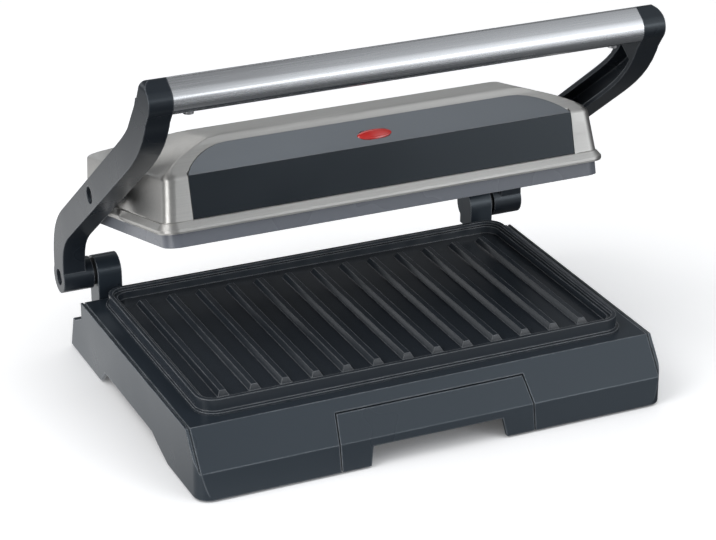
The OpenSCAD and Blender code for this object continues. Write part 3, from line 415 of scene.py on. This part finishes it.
# %% Dress the solids
SLOT_FINISH = {
    "housing_plastic": housing, "arm_plastic": arm_grey, "black_plastic": black,
    "fascia_plastic": fascia_grey, "band_plastic": band_dark, "nonstick_plate": nonstick,
    "brushed_steel": steel, "handle_metal": tube_metal, "sheet_metal": sheet,
    "element_sheath": sheath, "zinc_steel": zinc, "bush_brass": brass, "insulator": insulator,
    "wire_sleeve": sleeve, "lens_red": lens_red, "rubber": rubber,
}
for part in frame["record"]["subparts"]:
    mesh = nodes[part["node"]].data
    mesh.materials.clear()
    mesh.materials.append(SLOT_FINISH[part["material_slot"]])
nodes["upper_grill_plate"].data.materials[0] = upper_coat
for side in ("left", "right"):
    nodes[side + "_hinge_post"].data.materials[0] = housing

# %% [markdown]
# ## The lid's steel shell
# The lid's cover is pressed from one sheet of steel, so no crease on it is sharp.  It could be a
# subdivided box, but then its corners would all be equally soft.  It is lofted through closed rings
# instead, and each ring has its own corner radius.  From its foot the wall stands almost upright
# to the crease, rolls over it, and the roof closes in to a flat top.  The lid hangs tilted, so all of
# this is drawn in the lid's own upright frame, and a matrix carries it into place.

# %% Frame of the lid
HINGE = Vector((0, 0.095, 0.05))        # axis of the hinge pins
SWING = Vector((0, -0.0642, 0.0756))    # from there to the lid's pivots, with the arms at rest
PIVOT = Vector((0, 0.0722, 0.0168))     # the pivots in the lid's own frame
TILT = math.radians(-14.4)
lid_matrix = (Matrix.Translation(HINGE + SWING) @ Matrix.Rotation(TILT, 4, "X")
              @ Matrix.Translation(-PIVOT))
print("lid's pivots at", [round(v, 4) for v in lid_matrix @ PIVOT])

# %% Sizes of the shell
FOOT_Z, CREASE_Z, TOP_FRONT_Z, TOP_REAR_Z = 0.0055, 0.0292, 0.0452, 0.0462
FACE_FOOT_Y, FACE_CREASE_Y, REAR_FOOT_Y, REAR_CREASE_Y = 0.003, 0.0036, 0.144, 0.143
SIDE_FOOT_X, SIDE_CREASE_X = 0.130, 0.1275
TOP_FRONT_X, TOP_REAR_X, TOP_FRONT_Y, TOP_REAR_Y = 0.0865, 0.0955, 0.025, 0.056
BROW_FROM, BROW_FORWARD, BROW_RISE = 0.79, 0.0020, 0.0010  # steeper strip above the fascia
HIP_EVEN, HIP_LATE, HIP_CURL = 0.15, 0.3, 0.55             # how the front hips draw in
roof_lean = math.atan2(TOP_FRONT_Z - CREASE_Z, TOP_FRONT_Y - FACE_CREASE_Y)
print("front of the roof leans", round(math.degrees(roof_lean), 2), "degrees")

# %% [markdown]
# ### Rings of the shell
# A ring is six numbers: half its width at the front and at the rear, where its front and rear lie,
# and their heights.  A level between 0 and 1 runs up the wall, and another one up the roof.  The
# front hips draw in slowly at first and fast near the top, which gives the roof its curved hips.
# At the crease and at the top edge a quadratic curve through three rings makes the round.

# %% Rings
def lerp(a, b, t):
    """The value a share t of the way from a to b."""
    return a + (b - a) * t


def wall_ring(t):
    """Ring on the wall, t = 0 at the foot and 1 at the crease."""
    x, z = lerp(SIDE_FOOT_X, SIDE_CREASE_X, t), lerp(FOOT_Z, CREASE_Z, t)
    return x, x, lerp(FACE_FOOT_Y, FACE_CREASE_Y, t), lerp(REAR_FOOT_Y, REAR_CREASE_Y, t), z, z


def roof_ring(s):
    """Ring on the roof, s = 0 at the crease and 1 at the flat top."""
    drawn_in = HIP_EVEN * s + HIP_LATE * s * s + HIP_CURL * (1 - (1 - s) ** 0.5)
    brow = max(0, (s - BROW_FROM) / (1 - BROW_FROM))
    return (lerp(SIDE_CREASE_X, TOP_FRONT_X, drawn_in), lerp(SIDE_CREASE_X, TOP_REAR_X, s),
            lerp(FACE_CREASE_Y, TOP_FRONT_Y, s) - BROW_FORWARD * brow,
            lerp(REAR_CREASE_Y, TOP_REAR_Y, s),
            lerp(CREASE_Z, TOP_FRONT_Z, s) + BROW_RISE * brow, lerp(CREASE_Z, TOP_REAR_Z, s))


def round_ring(a, b, c, t):
    """Ring on the round that starts at ring a, bends at ring b and ends at ring c."""
    return tuple(lerp(lerp(p, q, t), lerp(q, r, t), t) for p, q, r in zip(a, b, c))


def inset_ring(ring, d):
    """The flat top's outline drawn in by d."""
    fx, rx, y0, y1, z0, z1 = ring
    return fx - d, rx - d, y0 + d, y1 - d, z0, z1


def ring_points(ring, radius, steps=8):
    """Closed outline: four corners joined by arcs, its height running from front to rear."""
    fx, rx, y0, y1, z0, z1 = ring
    corners = [(-fx, y0), (fx, y0), (rx, y1), (-rx, y1)]
    points = []
    for i, corner in enumerate(corners):
        here = Vector(corner)
        before = (Vector(corners[i - 1]) - here).normalized()
        after = (Vector(corners[(i + 1) % 4]) - here).normalized()
        half_angle = before.angle(after) / 2
        reach = radius / math.tan(half_angle)
        start, end = here + before * reach, here + after * reach
        centre = here + (before + after).normalized() * radius / math.sin(half_angle)
        turn = (start - centre).angle_signed(end - centre)
        for k in range(steps + 1):
            p = centre + Matrix.Rotation(-turn * k / steps, 2) @ (start - centre)
            points.append(Vector((p.x, p.y, lerp(z0, z1, (p.y - y0) / (y1 - y0)))))
    return points


# %% Stack the rings
CREASE_ROUND, TOP_ROUND = 0.07, 0.06  # shares of the wall and the roof that the rounds take
WALL_LEVELS = (0, 0.03, 0.5, 0.93)
ROOF_LEVELS = (0.1, 0.16, 0.22, 0.3, 0.38, 0.46, 0.54, 0.62, 0.7, 0.77, 0.81, 0.87, 0.92)
WALL_CORNER, HIP_FOOT, HIP_EDGE, TOP_CORNER, LID_CORNER = 0.0065, 0.0056, 0.0012, 0.0042, 0.0040
HIP_SHARP_BY = 0.3  # the hips' radius shrinks to HIP_EDGE by this level

shell_rings = [(wall_ring(t), WALL_CORNER) for t in WALL_LEVELS]
crease = wall_ring(1 - CREASE_ROUND), wall_ring(1), roof_ring(CREASE_ROUND)
shell_rings += [(round_ring(*crease, t), WALL_CORNER) for t in (0.25, 0.5, 0.75, 1)]
shell_rings += [(roof_ring(s), lerp(HIP_FOOT, HIP_EDGE, min(1, s / HIP_SHARP_BY)))
                for s in ROOF_LEVELS]
top_edge = roof_ring(1 - TOP_ROUND), roof_ring(1), inset_ring(roof_ring(1), 0.003)
shell_rings += [(round_ring(*top_edge, t), TOP_CORNER) for t in (0, 0.25, 0.5, 0.75, 1)]
shell_rings += [(inset_ring(roof_ring(1), 0.0036), LID_CORNER)]
print("rings on the shell:", len(shell_rings), "points on each:", len(ring_points(*shell_rings[0])))

# %% [markdown]
# ### From rings to a sheet
# The rings are skinned with quads.  Solidify then gives the skin the thickness of the real steel,
# growing inwards so that the outside stays where the rings are.  The fascia and the dark band sit
# in windows in the steel, and each window is cut with a prism that has a hair's breadth of play.

# %% Mesh helpers
def mesh_piece(name, bm, material, body):
    """Turns a bmesh into a smooth piece that rides on a body."""
    mesh = bpy.data.meshes.new(name)
    bmesh.ops.recalc_face_normals(bm, faces=bm.faces)
    bm.to_mesh(mesh)
    bm.free()
    for face in mesh.polygons:
        face.use_smooth = True
    piece = place(bpy.data.objects.new(name, mesh))
    mesh.materials.append(material)
    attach(piece, body)
    return piece


def loft(rings, close_top=True, close_foot=False, bm=None):
    """Skin of quads through closed rings of equal length, added to bm if there is one."""
    bm = bm or bmesh.new()
    rows = [[bm.verts.new(p) for p in ring] for ring in rings]
    count = len(rows[0])
    for low, high in zip(rows, rows[1:]):
        for i in range(count):
            bm.faces.new((low[i], low[(i + 1) % count], high[(i + 1) % count], high[i]))
    if close_top:
        bm.faces.new(rows[-1])
    if close_foot:
        bm.faces.new(rows[0][::-1])
    return bm


def prism(outline, low, high, matrix):
    """A flat outline pushed through from low to high in its own frame."""
    bm = loft([[matrix @ Vector((x, y, z)) for x, y in outline] for z in (low, high)], True, True)
    bmesh.ops.recalc_face_normals(bm, faces=bm.faces)
    return bm


def cut(piece, name, bm):
    """Boolean difference with a cutter made from a bmesh, which is returned."""
    mesh = bpy.data.meshes.new(name)
    bm.to_mesh(mesh)
    bm.free()
    cutter = place(bpy.data.objects.new(name, mesh))
    knife = piece.modifiers.new(name, "BOOLEAN")
    knife.operation = "DIFFERENCE"
    knife.solver = "EXACT"
    knife.object = cutter
    return cutter


def apply_modifiers(piece, scratch):
    """Keeps the evaluated mesh and drops the modifiers and the scratch objects."""
    depsgraph = bpy.context.evaluated_depsgraph_get()
    mesh = bpy.data.meshes.new_from_object(piece.evaluated_get(depsgraph))
    old = piece.data
    piece.modifiers.clear()
    piece.data = mesh
    bpy.data.meshes.remove(old)
    for item in scratch:
        bpy.data.objects.remove(item, do_unlink=True)


# %% Windows for the band and the fascia
BAND_X, FASCIA_X, FASCIA_TOP_Z = 0.114, 0.0845, 0.0415
PLAY = 0.0003
LIP = 0.0005        # steel left standing under the band
BEYOND = 0.030      # past the wall's top, so that the two windows join
fascia_height = (FASCIA_TOP_Z - CREASE_Z) / math.sin(roof_lean)
band_lean = math.atan2(CREASE_Z - FOOT_Z, FACE_CREASE_Y - FACE_FOOT_Y)
band_matrix = (lid_matrix @ Matrix.Translation((0, FACE_FOOT_Y, FOOT_Z))
               @ Matrix.Rotation(band_lean, 4, "X"))
slope_matrix = (lid_matrix @ Matrix.Translation((0, FACE_CREASE_Y, CREASE_Z))
                @ Matrix.Rotation(roof_lean, 4, "X"))


def fascia_outline(play, steps=12):
    """Low panel whose corners sweep up in a Bezier curve, widened all round by some play."""
    sweep = BAND_X - FASCIA_X
    handles = [(BAND_X, 0), (BAND_X - sweep * 0.08, fascia_height * 0.32),
               (BAND_X - sweep * 0.5, fascia_height), (FASCIA_X, fascia_height)]
    curve = []
    for i in range(steps + 1):
        row = [Vector(p) for p in handles]
        while len(row) > 1:
            row = [p.lerp(q, i / steps) for p, q in zip(row, row[1:])]
        curve.append((row[0].x + play, row[0].y + play))
    return ([(BAND_X + play, -0.002)] + curve + [(-x, y) for x, y in reversed(curve)]
            + [(-BAND_X - play, -0.002)])


def band_outline(play):
    """The dark band's rectangle on the wall."""
    half, foot = BAND_X + play, LIP - play
    return [(-half, foot), (half, foot), (half, BEYOND), (-half, BEYOND)]


print("fascia is", round(fascia_height * 1000, 1), "mm high on the slope")

# %% Build the shell
STEEL_GAUGE = 0.001

shell = mesh_piece("lid_shell", loft([[lid_matrix @ p for p in ring_points(ring, radius)]
                                      for ring, radius in shell_rings]), steel, "lid")
thick = shell.modifiers.new("steel_gauge", "SOLIDIFY")
thick.thickness = STEEL_GAUGE
thick.offset = -1
apply_modifiers(shell, [
    cut(shell, "band_knife", prism(band_outline(PLAY), -0.003, 0.0009, band_matrix)),
    cut(shell, "fascia_knife", prism(fascia_outline(PLAY), -0.003, 0.0022, slope_matrix))])
flat = shell.modifiers.new("flat_faces", "WEIGHTED_NORMAL")
flat.weight = 80
flat.keep_sharp = True
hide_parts("lid_cover")
print("lid shell faces:", len(shell.data.polygons))

# %% [markdown]
# ## The indicator lens
# The lens is pressed into the fascia from behind.  A straight-sided foot fills the hole, flush and
# in the fascia's colour, and a tinted dome with an elliptical outline stands proud on it.  A scaled
# sphere would do for the dome, but lofted rings keep its edge upright before it curves over.  One
# mesh with two materials keeps the lens a single piece.

# %% Domed lens
LENS_AT = (-0.0033, 0.0079)  # on the front slope, from its middle and its crease
FOOT_LONG, FOOT_HIGH, FOOT_DEPTH = 0.0185, 0.0074, 0.0026
DOME_LONG, DOME_HIGH, DOME_RISE, DOME_EDGE = 0.0204, 0.0076, 0.0017, 0.0002
DOME_ANGLES = (0.2, 0.4, 0.6, 0.8, 1.0, 1.2, 1.4)


def on_fascia(x, y, height):
    """A point given from the lens's middle, at a height above the fascia."""
    return slope_matrix @ Vector((LENS_AT[0] + x, LENS_AT[1] + y, height))


def foot_outline(height, steps=14):
    """Stadium that fills the hole."""
    half, radius = (FOOT_LONG - FOOT_HIGH) / 2, FOOT_HIGH / 2
    turns = [math.pi * (k / steps - 0.5) for k in range(steps + 1)]
    return [on_fascia(side * (half + math.cos(a) * radius), side * math.sin(a) * radius, height)
            for side in (1, -1) for a in turns]


def dome_outline(scale, height, steps=48):
    """Ellipse shrunk by scale."""
    turns = [math.tau * k / steps for k in range(steps)]
    return [on_fascia(math.cos(a) * DOME_LONG / 2 * scale, math.sin(a) * DOME_HIGH / 2 * scale,
                      height) for a in turns]


lens_mesh = loft([foot_outline(-FOOT_DEPTH), foot_outline(0)], True, True)
for face in lens_mesh.faces:
    face.material_index = 1
dome = [(1.0, -DOME_EDGE), (1.0, DOME_EDGE)]
dome += [(math.cos(a), DOME_EDGE + DOME_RISE * math.sin(a)) for a in DOME_ANGLES]
loft([dome_outline(scale, height) for scale, height in dome], True, True, lens_mesh)
lens = mesh_piece("lens_dome", lens_mesh, lens_red, "lid")
lens.data.materials.append(fascia_grey)
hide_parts("indicator_lens")
print("lens faces:", len(lens.data.polygons))

# %% [markdown]
# ## Soft edges on the solids
# No moulded, cast or pressed edge is truly sharp, and a sharp one catches no light.  The solids'
# meshes stay as they are, so the rounding comes from modifiers: Weld joins the faces that meet,
# Bevel rounds what is left sharp, and Weighted Normal keeps the flats flat.  A small node group
# shades gentle bends smooth and leaves real corners alone, because the curved faces come as facets.

# %% Smooth shading by angle
SMOOTH_BELOW, BEVEL_ABOVE = math.radians(19), math.radians(22)


def smooth_group():
    """Node group that shades faces smooth and keeps the sharper edges sharp."""
    group = bpy.data.node_groups.new("smooth_by_angle", "GeometryNodeTree")
    for in_out in ("INPUT", "OUTPUT"):
        group.interface.new_socket("Geometry", in_out=in_out, socket_type="NodeSocketGeometry")
    make, join = group.nodes.new, group.links.new
    start, end = make("NodeGroupInput"), make("NodeGroupOutput")
    faces, edges = make("GeometryNodeSetShadeSmooth"), make("GeometryNodeSetShadeSmooth")
    edges.domain = "EDGE"
    corner = make("GeometryNodeInputMeshEdgeAngle")
    gentle = make("FunctionNodeCompare")
    gentle.operation = "LESS_THAN"
    gentle.inputs["B"].default_value = SMOOTH_BELOW
    join(corner.outputs["Unsigned Angle"], gentle.inputs["A"])
    join(gentle.outputs["Result"], edges.inputs["Shade Smooth"])
    join(start.outputs[0], faces.inputs["Geometry"])
    join(faces.outputs[0], edges.inputs["Geometry"])
    join(edges.outputs[0], end.inputs[0])
    return group


smooth_by_angle = smooth_group()
print("nodes in the smoothing group:", len(smooth_by_angle.nodes))

# %% Round the edges
WELD_WITHIN = 0.00001
EDGE_RADIUS = {
    "base_housing": 0.0005, "drip_tray": 0.0005, "lower_grill_plate": 0.0006,
    "upper_grill_plate": 0.0006, "lid_frame": 0.0004, "left_arm": 0.0008, "right_arm": 0.0008,
    "left_hinge_post": 0.0008, "right_hinge_post": 0.0008, "lid_fascia": 0.0002,
    "lid_front_band": 0.0002,
}


def soften(name, radius):
    """Welds a solid's faces, rounds its sharp edges and shades its curves smooth."""
    piece = nodes[name]
    piece.modifiers.new("weld", "WELD").merge_threshold = WELD_WITHIN
    if radius:
        bevel = piece.modifiers.new("round", "BEVEL")
        bevel.width = radius
        bevel.segments = 2
        bevel.limit_method = "ANGLE"
        bevel.angle_limit = BEVEL_ABOVE
    piece.modifiers.new("shade", "NODES").node_group = smooth_by_angle
    if radius:
        weighted = piece.modifiers.new("flat", "WEIGHTED_NORMAL")
        weighted.mode = "FACE_AREA_WITH_ANGLE"
        weighted.keep_sharp = True


kept = [name for name in nodes if name not in ("lid_cover", "indicator_lens")]
for name in kept:
    soften(name, EDGE_RADIUS.get(name, 0))
print("softened:", len(kept), "nodes, rounded:", len(EDGE_RADIUS))
